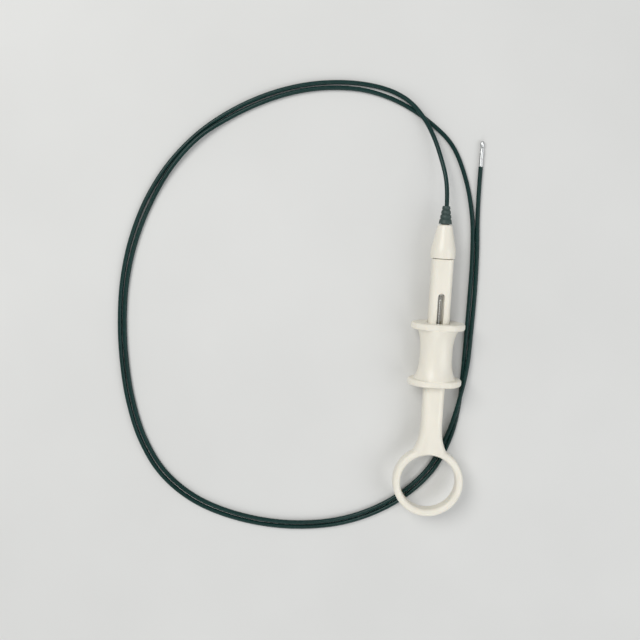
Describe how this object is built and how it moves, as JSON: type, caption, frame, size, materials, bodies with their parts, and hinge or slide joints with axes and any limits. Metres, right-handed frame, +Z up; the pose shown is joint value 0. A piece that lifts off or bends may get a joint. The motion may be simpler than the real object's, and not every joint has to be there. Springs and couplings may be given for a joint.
{
  "type": "endoscopic biopsy forceps",
  "caption": "Endoscopic biopsy forceps with a thumb ring, a finger slider on a slotted stem, a long coated sheath in loose loops and hollow biting cups that open on a pivot pin.",
  "frame": {"origin": "on the surface the handle lies on, below the middle of the handle's box", "axes": "+Y along the handle from the thumb ring to the sheath, +X to the right seen from above with the ring nearest, +Z up"},
  "size_m": [0.1561, 0.1982, 0.017],
  "materials": {
    "ivory_plastic": "satin moulding",
    "white_acetal": "matte",
    "green_coat": "smooth, glossy",
    "green_rubber": "satin",
    "brass": "turned",
    "bright_steel": "bright",
    "drawn_steel": "drawn"
  },
  "bodies": {
    "root": {"handle_body": "ivory_plastic", "stem_guide": "white_acetal", "nose_cap": "ivory_plastic", "sheath_ferrule": "drawn_steel", "strain_relief_boot": "green_rubber", "sheath": "green_coat", "tip_collar": "bright_steel", "tip_housing": "bright_steel"},
    "slider": {"slider_top_half": "ivory_plastic", "slider_bottom_half": "ivory_plastic", "anchor_block": "brass", "anchor_screw": "drawn_steel", "wire_pipe": "bright_steel"},
    "jaw_pivot": {"pivot_pin": "drawn_steel"},
    "left_jaw": {"left_cup": "bright_steel"},
    "right_jaw": {"right_cup": "bright_steel"},
    "left_rivet_body": {"left_rivet": "drawn_steel"},
    "right_rivet_body": {"right_rivet": "drawn_steel"},
    "left_link_body": {"left_link": "drawn_steel"},
    "right_link_body": {"right_link": "drawn_steel"}
  },
  "joints": [
    {"name": "finger_slide", "type": "slide", "parent": "root", "child": "slider", "axis": [0, 1, 0], "range_m": [0, 0.022]},
    {"name": "jaw_swing", "type": "hinge", "parent": "root", "child": "jaw_pivot", "pos_m": [0.0145, 0.0921, 0.00097], "axis": [0, 0, 1], "range_deg": [-35, 35]},
    {"name": "left_jaw_open", "type": "hinge", "parent": "jaw_pivot", "child": "left_jaw", "pos_m": [0.0145, 0.0921, 0.00097], "axis": [0, 0, 1], "range_deg": [0, 50]},
    {"name": "right_jaw_open", "type": "hinge", "parent": "jaw_pivot", "child": "right_jaw", "pos_m": [0.0145, 0.0921, 0.00097], "axis": [0, 0, -1], "range_deg": [0, 50]},
    {"name": "left_rivet_turn", "type": "hinge", "parent": "left_jaw", "child": "left_rivet_body", "pos_m": [0.01502, 0.09075, 0.00097], "axis": [0, 0, 1], "range_deg": [-44, 44]},
    {"name": "right_rivet_turn", "type": "hinge", "parent": "right_jaw", "child": "right_rivet_body", "pos_m": [0.01398, 0.09075, 0.00097], "axis": [0, 0, -1], "range_deg": [-44, 44]},
    {"name": "left_link_turn", "type": "hinge", "parent": "left_rivet_body", "child": "left_link_body", "pos_m": [0.01502, 0.09075, 0.00097], "axis": [0, 0, 1], "range_deg": [-62.5, 0]},
    {"name": "right_link_turn", "type": "hinge", "parent": "right_rivet_body", "child": "right_link_body", "pos_m": [0.01398, 0.09075, 0.00097], "axis": [0, 0, -1], "range_deg": [-62.5, 0]}
  ],
  "couplings": [
    {"joint": "left_jaw_open", "follows": "finger_slide", "rad_per_m": 39.6},
    {"joint": "right_jaw_open", "follows": "finger_slide", "rad_per_m": 39.6},
    {"joint": "left_link_turn", "follows": "finger_slide", "rad_per_m": -49.22},
    {"joint": "right_link_turn", "follows": "finger_slide", "rad_per_m": -49.22},
    {"joint": "left_rivet_turn", "follows": "jaw_swing", "ratio": -1.243},
    {"joint": "right_rivet_turn", "follows": "jaw_swing", "ratio": 1.243}
  ]
}
